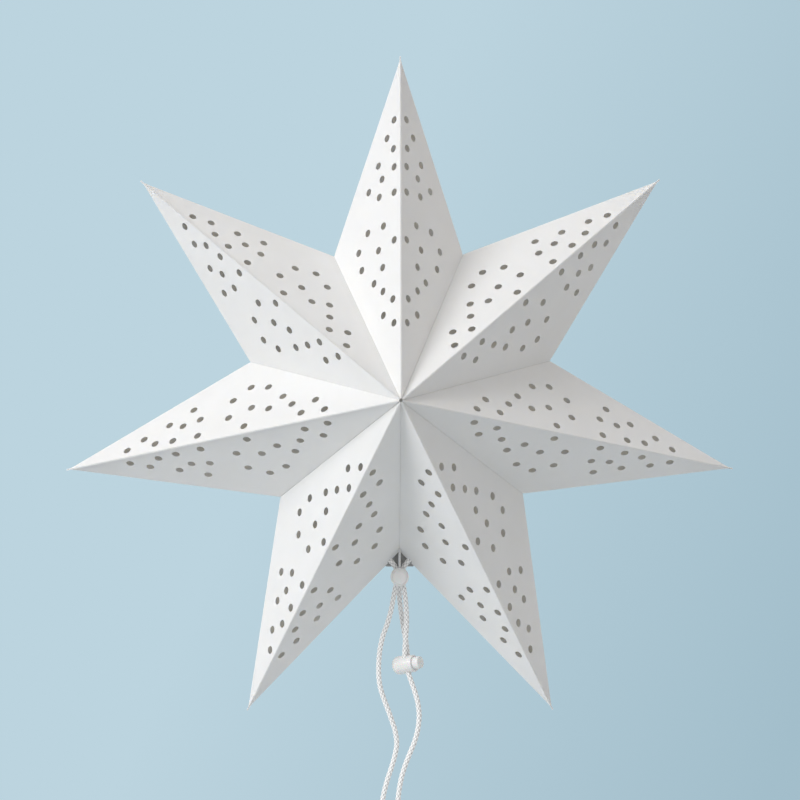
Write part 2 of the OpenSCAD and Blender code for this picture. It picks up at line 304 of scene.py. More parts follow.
# Catmull-Rom curve through the points: between two of them, a cubic whose slope at each is half the way
# between its neighbours. It is then stepped off in equal lengths. Also gives its length.
def smoothPath(points, step, stepsBetween=24):
    p = np.vstack([2 * points[0] - points[1], points, 2 * points[-1] - points[-2]])
    a, b, c, d = (p[i:len(p) - 3 + i, None, :] for i in range(4))
    t = np.linspace(0, 1, stepsBetween, endpoint=False)[None, :, None]
    curve = 0.5 * (2 * b + (c - a) * t + (2 * a - 5 * b + 4 * c - d) * t**2 + (3 * b - a - 3 * c + d) * t**3)
    dense = np.vstack([curve.reshape(-1, 3), points[-1:]])
    run = runAlong(dense)
    steps = np.linspace(0, run[-1], int(math.ceil(run[-1] / step)) + 1)
    return np.column_stack([np.interp(steps, run, dense[:, k]) for k in range(3)]), float(run[-1])


# Tube along a path: a ring round each path point, in the plane across it, of radius radiusAt(run, turn).
# The first and last rings shrink to a point, so that the ends are closed.
def sweep(path, radiusAt, sides, reference=(0, 1, 0)):
    way = unit(np.gradient(path, axis=0))
    first = unit(np.cross(reference, way))
    second = np.cross(way, first)
    run = runAlong(path)
    turn = np.arange(sides) / sides
    radius = radiusAt(run[:, None], turn[None, :])
    rows = np.concatenate([[0], np.arange(len(path)), [len(path) - 1]])
    radius = np.vstack([0 * radius[:1], radius, 0 * radius[:1]])
    angle = 2 * math.pi * turn[None, :, None]
    across = np.cos(angle) * first[rows][:, None] + np.sin(angle) * second[rows][:, None]
    verts = path[rows][:, None] + radius[..., None] * across
    return verts.reshape(-1, 3), gridFaces(len(rows), sides)


# Cords

braid = {
    "diameter": 0.0036,
    "strands": 4,  # of each of the two families, counted round the cord
    "pitch": 0.0034,
    "relief": 0.00045,
    "sides": 48,
    "step": 0.00026,
}


# Height of the braid from 0 to 1. Two families of strands wind opposite ways. Each shows in every other
# diamond, round across its own width and rising to the middle of the diamond: the product of the sines
# of both places, to the powers 0.6 and 0.35. The edges between diamonds lie lowest.
def braidCrown(run, turn):
    a = braid["strands"] * turn + run / braid["pitch"]
    b = braid["strands"] * turn - run / braid["pitch"]
    over = (np.floor(a) + np.floor(b)) % 2 == 0
    across, along = np.where(over, a, b), np.where(over, b, a)
    return np.abs(np.sin(math.pi * across)) ** 0.6 * np.abs(np.sin(math.pi * along)) ** 0.35


def braidRadius(run, turn):
    return braid["diameter"] / 2 + braid["relief"] * (braidCrown(run, turn) - 0.8)


# The routes of the cords: x, y and drop below the notch, in mm
leftRoute = [
    (-9.4, 0, 3.8), (-6.5, 0, 6.6), (-4.3, 0, 9.2), (-2.7, 0, 12), (-1.95, 0, 14.6), (-1.9, 0, 17.8),
    (-1.95, 0, 21), (-2.6, 0, 24.2), (-3.5, -0.1, 28.5), (-4.6, -0.3, 34.5), (-6.2, -0.6, 42.5),
    (-8.8, -0.9, 51.5), (-11.8, -1.2, 60), (-13.8, -1.4, 69), (-14.7, -1.5, 78), (-14.8, -1.5, 87),
    (-13.9, -1.4, 95.5), (-11.4, -1, 104), (-8.4, -0.6, 112), (-5.6, -0.3, 120), (-3.2, 0, 127.5),
    (-2, 0, 136.5), (-3.3, 0, 145), (-5.8, 0, 154), (-8.8, 0, 163), (-11.4, 0, 173.5), (-12.8, 0, 183),
    (-13.2, 0, 193), (-12.6, 0, 203), (-11.4, 0, 213), (-10.2, 0, 222),
]
rightRoute = [
    (9.4, 0, 3.8), (6.5, 0, 6.6), (4.3, 0, 9.2), (2.7, 0, 12), (1.95, 0, 14.6), (1.9, 0, 17.8),
    (1.95, 0, 21), (2.6, 0, 24.2), (3.4, 0.1, 28.5), (4.2, 0.3, 34.5), (4.8, 0.6, 42.5), (5, 0.9, 51),
    (4.5, 1.1, 60), (3.9, 1.35, 67.5), (3.75, 1.45, 74.2), (5.1, 1.45, 80.6), (6.5, 1.45, 87.2),
    (8.8, 1.1, 94), (11.2, 0.6, 101), (13.1, 0.3, 108.5), (13.9, 0, 117), (13, 0, 126.5), (10.6, 0, 135.5),
    (7.2, 0, 144), (3.9, 0, 152.5), (1.4, 0, 161), (-0.4, 0, 170.5), (-1.2, 0, 180), (-1, 0, 190),
    (0.2, 0, 200), (1.6, 0, 210), (2.8, 0, 219),
]
rearRoute = [
    (0, 15, -21), (0, 15, -12), (0, 15, -3), (0, 15, 6), (0, 14.9, 15), (0, 14.6, 24), (0, 13.6, 33),
    (0.8, 12, 41), (1.9, 10.2, 48.5), (3.2, 8.3, 57), (4.7, 6.4, 65), (5.6, 4.7, 73), (7.1, 4.55, 80.2),
    (7.5, 4.55, 82.2),
]


# Depth of the grooves of a swept braid, from 0 to 1, at each point of its rings: one less the crown. The
# cord's finish darkens by it as painted shade.
def braidGrooves(path, sides):
    run = runAlong(path)
    run = np.concatenate([run[:1], run, run[-1:]])
    return (1 - braidCrown(run[:, None], np.arange(sides)[None, :] / sides)).ravel()


def makeCord(name, route, node):
    path, length = smoothPath(hung(route), braid["step"])
    verts, faces = sweep(path, braidRadius, braid["sides"])
    grooves = braidGrooves(path, braid["sides"])
    cord = addPiece(name, verts, faces, cordFinish, slot="cord", sharpAngle=180, grooves=grooves)
    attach(cord, "star")
    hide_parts(node)
    print(name, "is", round(length * 1000), "mm long")


# Knots

knot = {
    "size": 0.0013,  # scale of the overhand curve
    "depth": 0.0017,  # how far its strands pass in front of and behind each other
    "tail": 0.009,
    "innerTail": 0.001,
    "diameter": 0.0033,
    "fromTop": 0.0045,  # from the top of the knot's solid down to the knot's middle
    "sides": 36,
    "step": 0.00035,
}


def knotRadius(run, turn):
    return braidRadius(run, turn) * knot["diameter"] / braid["diameter"]


# Overhand knot: an open trefoil, x = sin t + 2 sin 2t, z = cos t - 2 cos 2t, y = sin 3t, slightly
# narrowed, whose ends leave it upwards and downwards
def overhandPath(tailLength):
    t = np.linspace(0.32, 2 * math.pi - 0.32, 60)
    x = knot["size"] * (np.sin(t) + 2 * np.sin(2 * t)) * 0.8
    z = knot["size"] * (np.cos(t) - 2 * np.cos(2 * t)) * 0.85
    y = knot["depth"] * np.sin(3 * t)
    loop = np.column_stack([x, y, z])
    top = np.array([[0, 0, 3.6 * knot["size"]], [0, 0, 2.9 * knot["size"]]])
    bottom = np.array([[0, 0, -3.4 * knot["size"]], [0, 0, -3.4 * knot["size"] - tailLength]])
    return np.vstack([top, loop[3:-3:4], bottom])


def makeKnot(name, node, tailLength):
    low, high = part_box(node)
    place = np.array([(low.x + high.x) / 2, (low.y + high.y) / 2, high.z - knot["fromTop"]])
    path, _ = smoothPath(place + overhandPath(tailLength), knot["step"])
    verts, faces = sweep(path, knotRadius, knot["sides"], (0.02, 1, 0.05))
    grooves = braidGrooves(path, knot["sides"])
    piece = addPiece(name, verts, faces, cordFinish, slot="cord", sharpAngle=180, grooves=grooves)
    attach(piece, "star")
    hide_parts(node)
    return piece


innerLeft = makeKnot("leftInnerKnot", "left_inner_knot", knot["innerTail"])
innerRight = makeKnot("rightInnerKnot", "right_inner_knot", knot["innerTail"])
innerRear = makeKnot("rearInnerKnot", "rear_inner_knot", knot["innerTail"])
endLeft = makeKnot("leftEndKnot", "left_end_knot", knot["tail"])
endRight = makeKnot("rightEndKnot", "right_end_knot", knot["tail"])
makeCord("leftCord", leftRoute, "left_cord")
makeCord("rightCord", rightRoute, "right_cord")
makeCord("rearCord", rearRoute, "rear_cord")
print("cords and knots made")


# Cord locks, made with the closed end at z = 0 and the mouth upwards, in mm

lock = {
    "barrelRadius": 6.5,
    "mouthRadius": 5.6,
    "barrelLength": 17.0,
    "endWall": 2.0,
    "lip": 1.2,
    "plungerRadius": 4.95,
    "buttonRadius": 4.4,
    "buttonLength": 5.0,
    "clearance": 0.07,
    "slotPlace": 11.15,
    "slotWidth": 7.6,
    "slotLength": 4.0,
    "plungerBase": 7.6,
    "shoulder": 15.7,
    "travel": 1.6,
    "domeRadius": 3.5,  # of the rounded closed end
    "slotRoom": 0.05,  # at each end of the plunger's slot
    "cutterReach": 12,
    "softEdge": 0.12,
    "springRadius": 3.65,
    "springTurns": 4.5,
    "springFlat": 0.16,  # share of the wire that runs flat, at each end
    "wireRadius": 0.35,
    "wireSides": 12,
    "sides": 96,
    "upperPlace": (0, 0, 17.8),  # of the slot: x, y and drop below the notch
    "lowerPlace": (6.1, 3.0, 80.4),
    "lowerTilt": 12,
    "lowerTurn": 34,
}


# Points (radius, height) along an arc between two angles in degrees
def arcPoints(centre, radius, start, end, count):
    a = np.radians(np.linspace(start, end, count))
    return np.column_stack([centre[0] + radius * np.cos(a), centre[1] + radius * np.sin(a)])


# Surface of revolution of a closed profile of radii and heights, from the axis round to the axis
def lathe(profile):
    angle = np.arange(lock["sides"]) * 2 * math.pi / lock["sides"]
    radius, height = profile[:, 0][:, None], profile[:, 1][:, None]
    verts = np.stack([radius * np.cos(angle), radius * np.sin(angle), height + 0 * angle], -1)
    return verts.reshape(-1, 3) * mm, gridFaces(len(profile), lock["sides"])


# Profile of the barrel: out over the closed end with its ring groove, up the wall to the mouth, and back
# down the bore
def barrelProfile():
    r, bore = lock["barrelRadius"], lock["plungerRadius"] + lock["clearance"]
    mouth, length = lock["mouthRadius"], lock["barrelLength"]
    dome, floor = lock["domeRadius"], lock["endWall"]
    outside = np.vstack([
        [[0, 0], [1.2, 0], [1.9, 0.02], [2.6, 0]],
        arcPoints((r - dome, dome), dome, -86, -57, 7),
        [[4.93, 1.05], [4.98, 1.15], [5.38, 1.2], [5.43, 1.15]],
        arcPoints((r - dome, dome), dome, -45.5, 0, 9),
        [[r, 7], [r - 0.02, 9], [r - 0.05, 11], [6.2, 13.6], [mouth + 0.38, 16.1]],
        arcPoints((mouth - 0.25, length - 0.6), 0.6, 15, 90, 6),
    ])
    lip = lock["buttonRadius"] + lock["clearance"]
    inside = np.array([
        [lip + 0.15, length], [lip, length - 0.15], [lip, length - lock["lip"]], [bore, length - lock["lip"]],
        [bore, 12], [bore, 8], [bore, floor + 0.3], [bore - 0.3, floor], [0, floor],
    ])
    return np.vstack([outside, inside])


# Profile of the plunger from the axis at its base, out to its wall, in at the shoulder and up the button
def plungerProfile():
    r, button = lock["plungerRadius"], lock["buttonRadius"]
    low, shoulder = lock["plungerBase"], lock["shoulder"]
    top = lock["barrelLength"] + lock["buttonLength"]
    return np.vstack([
        [[0, low], [r - 0.3, low], [r, low + 0.3]],
        [[r, shoulder - 0.2], [r - 0.2, shoulder], [button, shoulder], [button, 17.5], [button, 19]],
        arcPoints((button - 0.9, top - 0.9), 0.9, 0, 86, 8),
        [[2.6, top], [1.3, top], [0, top]],
    ])


# Bar along y with a section of two half circles joined by straight sides, wide along x
def slotCutter(width, length, low, depth):
    r = length / 2
    side = width / 2 - r
    a = np.radians(np.linspace(-90, 90, 13))
    right = np.column_stack([side + r * np.cos(a), low + r + r * np.sin(a)])
    section = np.vstack([right, right[::-1] * [-1, 1]])
    count = len(section)
    front = np.column_stack([section[:, 0], np.full(count, -depth), section[:, 1]])
    rings = np.vstack([front, front + [0, 2 * depth, 0]]) * mm
    j = np.arange(count)
    k = (j + 1) % count
    middle = np.array([[0, -depth, low + r], [0, depth, low + r]]) * mm
    walls = np.vstack([np.column_stack([j, j + count, k]), np.column_stack([k, j + count, k + count])])
    ends = np.vstack([
        np.column_stack([j, k, np.full(count, 2 * count)]),
        np.column_stack([k + count, j + count, np.full(count, 2 * count + 1)]),
    ])
    cutter = addPiece("cutter", np.vstack([rings, middle]), np.vstack([walls, ends]), lockFinish)
    faceOutwards(cutter)
    return cutter


# Cuts the slot right through a piece and softens the edges
def cutSlot(piece, width, length, low):
    cutter = slotCutter(width, length, low, lock["cutterReach"])
    cut = piece.modifiers.new("slot", "BOOLEAN")
    cut.operation = "DIFFERENCE"
    cut.solver = "EXACT"
    cut.object = cutter
    applyModifiers(piece, 35)
    edge = piece.modifiers.new("soften", "BEVEL")
    edge.width = lock["softEdge"] * mm
    edge.segments = 2
    edge.limit_method = "ANGLE"
    edge.angle_limit = math.radians(50)
    edge.harden_normals = False
    applyModifiers(piece, 50)
    bpy.data.objects.remove(cutter)


# Matrix that stands a lock with its slot at a place given as x, y and drop below the notch. Its mouth
# faces the back, or else the right, tilted up and turned to the front.
def lockPlace(slotPoint, tilt=0, turn=0, towardBack=False):
    if towardBack:
        turned = Matrix.Rotation(math.radians(-90), 4, "X")
    else:
        turned = (
            Matrix.Rotation(math.radians(-tilt), 4, "Y") @ Matrix.Rotation(math.radians(-turn), 4, "Z")
            @ Matrix.Rotation(math.radians(90), 4, "Y") @ Matrix.Rotation(math.radians(90), 4, "Z")
        )
    lift = Matrix.Translation((0, 0, -lock["slotPlace"] * mm))
    return Matrix.Translation(hung(slotPoint)[0]) @ turned @ lift


def makeLock(label, prefix, place, body):
    barrel = addPiece(label + "Barrel", *lathe(barrelProfile()), lockFinish, slot="lock")
    slotLow, room = lock["slotPlace"] - lock["slotLength"] / 2, lock["slotRoom"]
    cutSlot(barrel, lock["slotWidth"], lock["slotLength"], slotLow)
    plunger = addPiece(label + "Button", *lathe(plungerProfile()), lockFinish, slot="lock")
    cutSlot(plunger, lock["slotWidth"], lock["slotLength"] + lock["travel"] + 2 * room, slotLow - room)
    spring = makeSpring(label + "Spring")
    for piece, node, rides in (
        (barrel, "barrel", "star"), (plunger, "plunger", body), (spring, "spring", "star"),
    ):
        piece.data.transform(place)
        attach(piece, rides)
        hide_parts(prefix + node)
    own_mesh(spring)


def wireRadius(run, turn):
    return lock["wireRadius"] * mm + 0 * run + 0 * turn


# Compression spring: a helix that runs flat at both ends
def makeSpring(name):
    t = np.linspace(0, 1, 260)
    low = lock["endWall"] + lock["wireRadius"]
    high = lock["plungerBase"] - lock["wireRadius"]
    climb = np.clip((t - lock["springFlat"]) / (1 - 2 * lock["springFlat"]), 0, 1)
    angle, r = 2 * math.pi * lock["springTurns"] * t, lock["springRadius"]
    path = np.column_stack([r * np.cos(angle), r * np.sin(angle), low + (high - low) * climb]) * mm
    verts, faces = sweep(path, wireRadius, lock["wireSides"], (0, 0, 1))
    return addPiece(name, verts, faces, springFinish, slot="spring", sharpAngle=180)


upperPlace = lockPlace(lock["upperPlace"], towardBack=True)
lowerPlace = lockPlace(lock["lowerPlace"], lock["lowerTilt"], lock["lowerTurn"])
makeLock("upperLock", "upper_lock_", upperPlace, "upper_button")
makeLock("lowerLock", "lower_lock_", lowerPlace, "lower_button")
print("cord locks made")


# Card halves. A facet is worked out flat: u runs from the tip along the ridge, and v away from the ridge.

card = {
    "finWidth": 0.0012,
    "tabWidth": 0.008,
    "tabTaper": 2.2,  # how far before the star's middle the tab starts to narrow, in tab widths
    "tabEnd": (0.004, 0.0006),  # how far before the middle it ends, and its width there
    "foldRadius": 0.0006,
    "foldRows": 3,
    "centreGap": 0.0013,
    "holeDiameter": 0.0055,
    "holeSides": 28,
    "gridStep": 0.005,
    "rowShare": 0.87,  # distance between the net's rows, in grid steps
    "holeRoom": 0.0012,  # kept free of the net's points round a hole, and inside a fold
    "foldRoom": 0.0015,
    "columns": (64, 36, 38),  # steps along the ridge, the outer crease and the valley
    "bulge": 0.0005,
    "wave": 0.0003,
    "seed": 5,
}
# Places of the holes in percent: from the tip along the ridge, and from the ridge across the facet
holePlaces = [
    (17.5, 9.5), (22, 20), (26, 10.5), (29, 32.5), (31.5, 9.5), (33.5, 27), (35.5, 47), (39, 9.5), (38.5, 31),
    (47.5, 25), (47.5, 48), (53, 9.5), (54, 32.5), (52, 62), (59.5, 26.5), (57.5, 57.5), (63, 39.5),
    (66.5, 26), (70, 11.5), (73.5, 25.5), (77, 10),
]
thickness = star["cardThickness"]
tip = np.array([0, 0, star["tipRadius"]])
centre = np.array([0, -star["halfDepth"], 0])
notch = star["notchRadius"] * np.array([math.sin(halfStep), 0, math.cos(halfStep)])
outward = unit(np.cross(centre - tip, notch - tip))
alongRidge = unit(centre - tip)
fromRidge = np.cross(outward, alongRidge)


def flatPlace(point):
    return np.stack([(point - tip) @ alongRidge, (point - tip) @ fromRidge], -1)


tipFlat, centreFlat, notchFlat = flatPlace(tip), flatPlace(centre), flatPlace(notch)
ridgeLength = centreFlat[0]


# Unit normal of the line a-b in the flat facet, on the side of the point inside
def inwardNormal(a, b, inside):
    way = unit(b - a)
    normal = np.array([-way[1], way[0]])
    return normal if normal @ (inside - a) > 0 else -normal


# A straight fold of the sheet: its line in the flat facet, and the bend to its onward direction
def makeFold(start, end, inside, onward, inset=0.0):
    normal = inwardNormal(start, end, inside)
    inward = normal[0] * alongRidge + normal[1] * fromRidge
    turn = math.acos(np.clip(-inward @ onward, -1, 1))
    return {
        "start": start + inset * normal, "normal": normal, "inward": inward, "onward": onward, "turn": turn,
        "tangent": card["foldRadius"] * math.tan(turn / 2),
    }


tabInward = unit(np.array([0, star["notchRadius"], 0]) - star["halfDepth"] * unit(notch))
finOutward = unit(np.array([0, -star["tipRadius"], star["halfDepth"]]))
creaseInward = inwardNormal(tipFlat, notchFlat, centreFlat)
creaseOnward = (creaseInward[0] * alongRidge + creaseInward[1] * fromRidge) * [1, -1, 1]
ridgeFold = makeFold(tipFlat, centreFlat, notchFlat, finOutward, thickness / fromRidge[0])
creaseFold = makeFold(tipFlat, notchFlat, centreFlat, creaseOnward)
valleyFold = makeFold(notchFlat, centreFlat, tipFlat, tabInward)
folds = (ridgeFold, creaseFold, valleyFold)


def foldDistance(flat, fold):
    return (flat - fold["start"]) @ fold["normal"]


# How far a fold moves the points of the flat sheet: none up to the tangent point, then round an arc
# of the fold's radius, and then straight on in the onward direction
def bendOffset(flat, fold):
    r, turn = card["foldRadius"], fold["turn"]
    s = foldDistance(flat, fold)
    past = np.maximum(fold["tangent"] - s, 0)
    theta = np.minimum(past / r, turn)
    aside = unit(fold["onward"] + fold["inward"] * math.cos(turn))
    bent = (
        np.outer(fold["tangent"] - r * np.sin(theta), fold["inward"])
        + np.outer(r * (1 - np.cos(theta)), aside)
        + np.outer(np.maximum(past - r * turn, 0), fold["onward"])
    )
    return np.where(past[:, None] > 0, bent - np.outer(s, fold["inward"]), 0)


# Flat distance from the fold's line to a point at a height past it
def sheetDistance(fold, height):
    return 2 * fold["tangent"] - card["foldRadius"] * fold["turn"] - height


# Point of the flat facet at given distances from two folds
def meet(foldA, distanceA, foldB, distanceB):
    normals = np.array([foldA["normal"], foldB["normal"]])
    right = [distanceA + foldA["normal"] @ foldA["start"], distanceB + foldB["normal"] @ foldB["start"]]
    return np.linalg.solve(normals, right)


# Points from a towards b in equal steps, without b
def divided(a, b, count):
    return a + (b - a) * (np.arange(count) / count)[:, None]


# A closed line of edges through points, as pairs of numbers
def ring(points):
    j = np.arange(len(points))
    return np.column_stack([j, (j + 1) % len(points)])


# Whether each point is inside a polygon, by how often its edges pass to the right
def insidePolygon(points, polygon):
    x, y = points[:, 0][:, None], points[:, 1][:, None]
    ax, ay = polygon[:, 0][None], polygon[:, 1][None]
    bx, by = np.roll(polygon[:, 0], -1)[None], np.roll(polygon[:, 1], -1)[None]
    crosses = (ay > y) != (by > y)
    at = ax + (y - ay) * (bx - ax) / np.where(by == ay, 1, by - ay)
    return np.sum(crosses & (x < at), axis=1) % 2 == 1


# Flat place of a point of the fin, from its distance along the ridge and its height above it
def onRidgeFin(u, height):
    rise = height - thickness * (fromRidge @ finOutward) / fromRidge[0]
    return np.array([u, ridgeFold["start"][1] + sheetDistance(ridgeFold, rise)])


# Flat place of a point of the tab, from its distance along the valley and how far in it lies
def onTab(along, inwards):
    way = unit(centreFlat - notchFlat)
    return notchFlat + along * way + sheetDistance(valleyFold, inwards) * valleyFold["normal"]


# Outline of the flat sheet, row by row, and the fold rows that lie inside it
def facetOutline():
    r, rows = card["foldRadius"], card["foldRows"]
    nRidge, nCrease, nValley = card["columns"]
    gapA = np.array([(star["tipRadius"] - card["centreGap"]) / -alongRidge[2], 0])
    gapB = notchFlat + (centreFlat - notchFlat) * (1 - card["centreGap"] / star["notchRadius"])
    gapNormal = inwardNormal(gapA, gapB, tipFlat)
    gap = {"start": gapA, "normal": gapNormal}
    levels = []
    for j in range(rows + 1):
        share = 1 - j / rows
        ridge = ridgeFold["tangent"] - r * ridgeFold["turn"] * share
        crease = creaseFold["tangent"] - r * creaseFold["turn"] / 2 * share
        valley = valleyFold["tangent"] - r * valleyFold["turn"] * share
        levels.append([
            meet(ridgeFold, ridge, creaseFold, crease), meet(creaseFold, crease, valleyFold, valley),
            meet(valleyFold, valley, gap, 0), meet(ridgeFold, ridge, gap, 0),
        ])
    tipAlong, tipUp = -star["tipEnd"] * alongRidge[2], star["tipEnd"] * finOutward[2]
    fin, tab = card["finWidth"], card["tabWidth"]
    finTop = onRidgeFin(-tipAlong, tipUp)
    finEdge = onRidgeFin(-tipAlong + (fin - tipUp) * finOutward[2] / -alongRidge[2], fin)
    finEnd = onRidgeFin(gapA[0] + fin * 0.4, fin)
    valleyLength = np.linalg.norm(centreFlat - notchFlat)
    lean = star["notchRadius"] / star["halfDepth"]
    tabNear = onTab(tab * lean, tab)
    tabFar = onTab(valleyLength - card["tabTaper"] * tab, tab)
    tabEnd = onTab(valleyLength - card["tabEnd"][0], card["tabEnd"][1])
    a, b, c, d = levels[0]
    outline = np.vstack([
        [finTop], divided(finEdge, finEnd, nRidge), [finEnd], [d], [c], [tabEnd],
        divided(tabFar, tabNear, nValley), [tabNear], divided(b, a, nCrease), [a],
    ])
    inner = []
    for j, (a, b, c, d) in enumerate(levels):
        if j == 0:
            inner.append((divided(a, d, nRidge), False))
            inner.append((divided(b, c, nValley), False))
        else:
            loop = [divided(a, d, nRidge), divided(d, c, 2), divided(c, b, nValley), divided(b, a, nCrease)]
            inner.append((np.vstack(loop), True))
    return outline, inner, (finTop, tabNear)


# The punched holes, as polygons in the flat facet
def holeRings():
    angle = np.arange(card["holeSides"]) * 2 * math.pi / card["holeSides"]
    circle = card["holeDiameter"] / 2 * np.column_stack([np.cos(angle), np.sin(angle)])
    places = np.array(holePlaces) / 100 * [ridgeLength, notchFlat[1]]
    return [place + circle for place in places], places


# A staggered net of points inside the folds, clear of the holes
def innerPoints(places, levelLoop):
    step, rowStep = card["gridStep"], card["gridStep"] * card["rowShare"]
    u, v = np.meshgrid(np.arange(0, ridgeLength, step), np.arange(0, notchFlat[1], rowStep), indexing="ij")
    u = u + (np.round(v / rowStep) % 2) * step / 2
    net = np.column_stack([u.ravel(), v.ravel()])
    fromHole = np.min(np.linalg.norm(net[:, None] - places[None], axis=2), axis=1)
    clear = fromHole > card["holeDiameter"] / 2 + card["holeRoom"]
    deep = np.min([foldDistance(net, fold) - fold["tangent"] for fold in folds], axis=0) > card["foldRoom"]
    return net[clear & deep & insidePolygon(net, levelLoop)]


# Triangles of the flat sheet between its outline, the fold rows and the holes
def triangulate(punched, cutters=()):
    outline, inner, middlePoints = facetOutline()
    rings, places = holeRings()
    cutters = list(cutters) + (rings if punched else [])
    lines = [(outline, True)] + inner + [(one, True) for one in cutters]
    points, edges, count = [], [], 0
    for line, closed in lines:
        pairs = ring(line) if closed else ring(line)[:-1]
        points.append(line)
        edges.append(pairs + count)
        count += len(line)
    points.append(innerPoints(places, inner[-1][0]))
    flat = np.vstack(points) * 1000
    made = delaunay_2d_cdt([Vector(p) for p in flat.tolist()], np.vstack(edges).tolist(), [], 0, 1e-5)
    verts = np.array([v[:] for v in made[0]]) / 1000
    faces = np.array(made[2])
    middle = verts[faces].mean(axis=1)
    keep = insidePolygon(middle, outline)
    for cutter in cutters:
        keep &= ~insidePolygon(middle, cutter)
    onCrease = np.abs(foldDistance(verts, creaseFold) - creaseFold["tangent"]
                      + card["foldRadius"] * creaseFold["turn"] / 2) < 2e-6
    for point in middlePoints:
        onCrease |= np.linalg.norm(verts - point, axis=1) < 2e-6
    return verts, faces[keep], onCrease


# Places of the flat points on the folded sheet: the facet's plane, moved by the three folds, and a
# slight swell of the card. The swell is the product of the distances from the folds, each as a share
# of the facet's height over that fold, so that it fades to nothing at all of them. It is scaled by 27
# to be about 1 in the middle of the facet, where each share is a third.
def raiseSheet(flat, onMiddle, phases):
    places = tip + np.outer(flat[:, 0], alongRidge) + np.outer(flat[:, 1], fromRidge)
    places = places + sum(bendOffset(flat, fold) for fold in folds)
    distances = [np.maximum(foldDistance(flat, fold) - fold["tangent"], 0) for fold in folds]
    corners = (notchFlat, centreFlat, tipFlat)
    across = [foldDistance(corner[None], fold)[0] for corner, fold in zip(corners, folds)]
    swell = 27 * distances[0] * distances[1] * distances[2] / (across[0] * across[1] * across[2])
    u, v = flat[:, 0] / ridgeLength, flat[:, 1] / notchFlat[1]
    ripple = np.sin(2 * math.pi * (1.3 * u + phases[0])) * np.sin(2 * math.pi * (0.9 * v + phases[1]))
    ripple += 0.5 * np.sin(2 * math.pi * (2.7 * u - 1.1 * v + phases[2]))
    places += np.outer(swell * (card["bulge"] * (0.6 + 0.8 * phases[3]) + card["wave"] * ripple), outward)
    places[:, 0] = np.maximum(places[:, 0], thickness)
    fromValley = np.array([-math.cos(halfStep), 0, math.sin(halfStep)])
    places -= np.outer(np.minimum(places @ fromValley, 0), fromValley)
    places[:, 1] = np.where(onMiddle, 0, np.minimum(places[:, 1], 0))
    return places


# How far the ends of the points and the notches after them hang from a regular star, in mm to the right
# and upwards. The card was unfolded by hand, so no two points are quite alike.
unevenEnds = [(0.5, -1), (-4.7, 2.8), (0.8, 2.3), (4, -5), (-3.4, -5.3), (-0.4, 1.7), (5.7, 1.8)]
unevenNotches = [(-2.8, 1.5), (-0.6, 0.6), (1.6, -0.6), (0, 0), (1.4, -2.9), (1.4, -0.1), (1.3, 0.1)]


# Turns a right-hand half that stands upright to its place, mirrored if it is a left-hand one. Each place
# is then a sum of shares of the point's end and of the notch, and moves by those shares of their offsets.
def placeHalf(verts, index):
    if index % 2 == 0:
        verts = verts * [-1, 1, 1]
    point = index // 2
    after = point if index % 2 else (point - 1) % star["points"]
    angle, notchAngle = point * 2 * halfStep, (after * 2 + 1) * halfStep
    c, s = math.cos(angle), math.sin(angle)
    verts = verts @ np.array([[c, 0, s], [0, 1, 0], [-s, 0, c]]).T
    corners = np.array([
        [star["tipRadius"] * math.sin(angle), star["tipRadius"] * math.cos(angle)],
        [star["notchRadius"] * math.sin(notchAngle), star["notchRadius"] * math.cos(notchAngle)],
    ])
    shares = verts[:, [0, 2]] @ np.linalg.inv(corners)
    verts[:, [0, 2]] += shares @ (np.array([unevenEnds[point], unevenNotches[after]]) * mm)
    return verts + [0, 0, centreHeight]


# The seam halves have extra openings for the cords and the lamp's cord
seam = {
    "sideHole": 0.0065,
    "rearHole": 0.015,
    "lampHole": 0.030,
    "lampDiameter": 0.014,
    "cordHole": 0.004,
    "flapWidth": 0.011,
    "flapBehind": 0.0036,
    "flapDrop": 0.011,
    "flapCorner": 0.0015,
    "lugWidth": 0.006,
    "lugBehind": 0.0015,
    "lugDrop": 0.0105,
    "lugTops": (-0.0015, 0.0025, 0.005),  # above the notch: at its front, at its back and between
    "lugThickness": 0.0007,
    "cutMargin": 0.0015,  # how far an opening is cut past the edge of the tab
}
nextTip = star["tipRadius"] * np.array([math.sin(halfStep), math.cos(halfStep)])
creaseSlope = (nextTip[1] - star["notchRadius"]) / nextTip[0]
valleyRise = star["notchRadius"] / star["halfDepth"]


# The cord's hole across the outer crease, an ellipse in the flat facet
def creaseCutter():
    along = seam["sideHole"] * math.sqrt(1 + creaseSlope**2)
    way = unit(tipFlat - notchFlat)
    angle = np.arange(24) * math.pi / 12
    long = seam["cordHole"] / 2 / math.cos(creaseFold["turn"] / 2)
    return (notchFlat + along * way + seam["cordHole"] / 2 * np.outer(np.cos(angle), way)
            + long * np.outer(np.sin(angle), creaseFold["normal"]))


# An upright round opening on the seam, behind the mid-plane: its half circle, turned back to the upright
# half and laid flat in the rear facet, and then two corners past the edge of the tab
def valleyCutter(behind, diameter):
    angle = np.linspace(0, math.pi, 20)
    x, y = diameter / 2 * np.sin(angle), behind + diameter / 2 * np.cos(angle)
    z = -star["notchRadius"] + valleyRise * y - creaseSlope * x
    c, s = math.cos(math.pi - halfStep), math.sin(math.pi - halfStep)
    curve = flatPlace(np.column_stack([x * c - z * s, -y, x * s + z * c]))
    scale = math.hypot(star["notchRadius"], star["halfDepth"]) / star["halfDepth"]
    deep = card["tabWidth"] + seam["cutMargin"]
    far = [onTab((behind + side * diameter / 2) * scale + deep * valleyRise, deep) for side in (-1, 1)]
    return np.vstack([curve, far])


